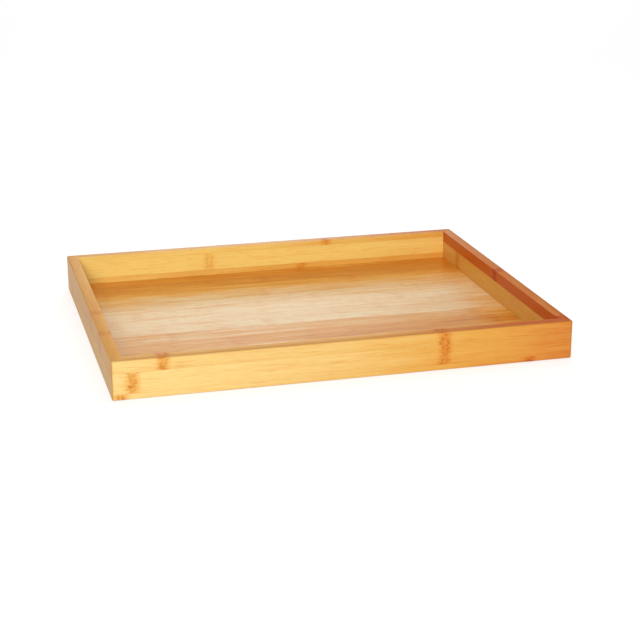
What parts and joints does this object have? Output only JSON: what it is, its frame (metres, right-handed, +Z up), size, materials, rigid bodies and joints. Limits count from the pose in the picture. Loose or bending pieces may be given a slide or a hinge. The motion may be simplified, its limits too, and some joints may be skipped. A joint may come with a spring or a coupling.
{
  "type": "appetizer board",
  "caption": "Shallow rectangular bamboo serving tray: a low mitred rim of glued-up strips around a flat, recessed base of lengthwise strips, for appetizers and small dishes.",
  "frame": {"origin": "on the surface that the tray stands on, under the middle of the tray", "axes": "+X along the tray's length to the right, +Y from the front rail to the back rail, +Z up"},
  "size_m": [0.32, 0.255, 0.027],
  "materials": {
    "rail_bamboo": "honey bamboo with brown knuckles, sanded round at the edges, satin lacquer",
    "base_bamboo": "tan bamboo with fine lengthwise streaks, semi-gloss lacquer",
    "spline_bamboo": "bare bamboo, hidden in the mitre"
  },
  "bodies": {
    "root": {"front_rail_strip_1": "rail_bamboo", "front_rail_strip_2": "rail_bamboo", "front_rail_strip_3": "rail_bamboo", "right_rail_strip_1": "rail_bamboo", "right_rail_strip_2": "rail_bamboo", "back_rail_strip_1": "rail_bamboo", "back_rail_strip_2": "rail_bamboo", "back_rail_strip_3": "rail_bamboo", "left_rail_strip_1": "rail_bamboo", "left_rail_strip_2": "rail_bamboo", "base_strip_01": "base_bamboo", "base_strip_02": "base_bamboo", "base_strip_03": "base_bamboo", "base_strip_04": "base_bamboo", "base_strip_05": "base_bamboo", "base_strip_06": "base_bamboo", "base_strip_07": "base_bamboo", "base_strip_08": "base_bamboo", "base_strip_09": "base_bamboo", "base_strip_10": "base_bamboo", "base_strip_11": "base_bamboo", "base_strip_12": "base_bamboo", "base_strip_13": "base_bamboo", "base_strip_14": "base_bamboo", "front_left_corner_spline": "spline_bamboo", "front_right_corner_spline": "spline_bamboo", "back_right_corner_spline": "spline_bamboo", "back_left_corner_spline": "spline_bamboo"}
  },
  "joints": []
}
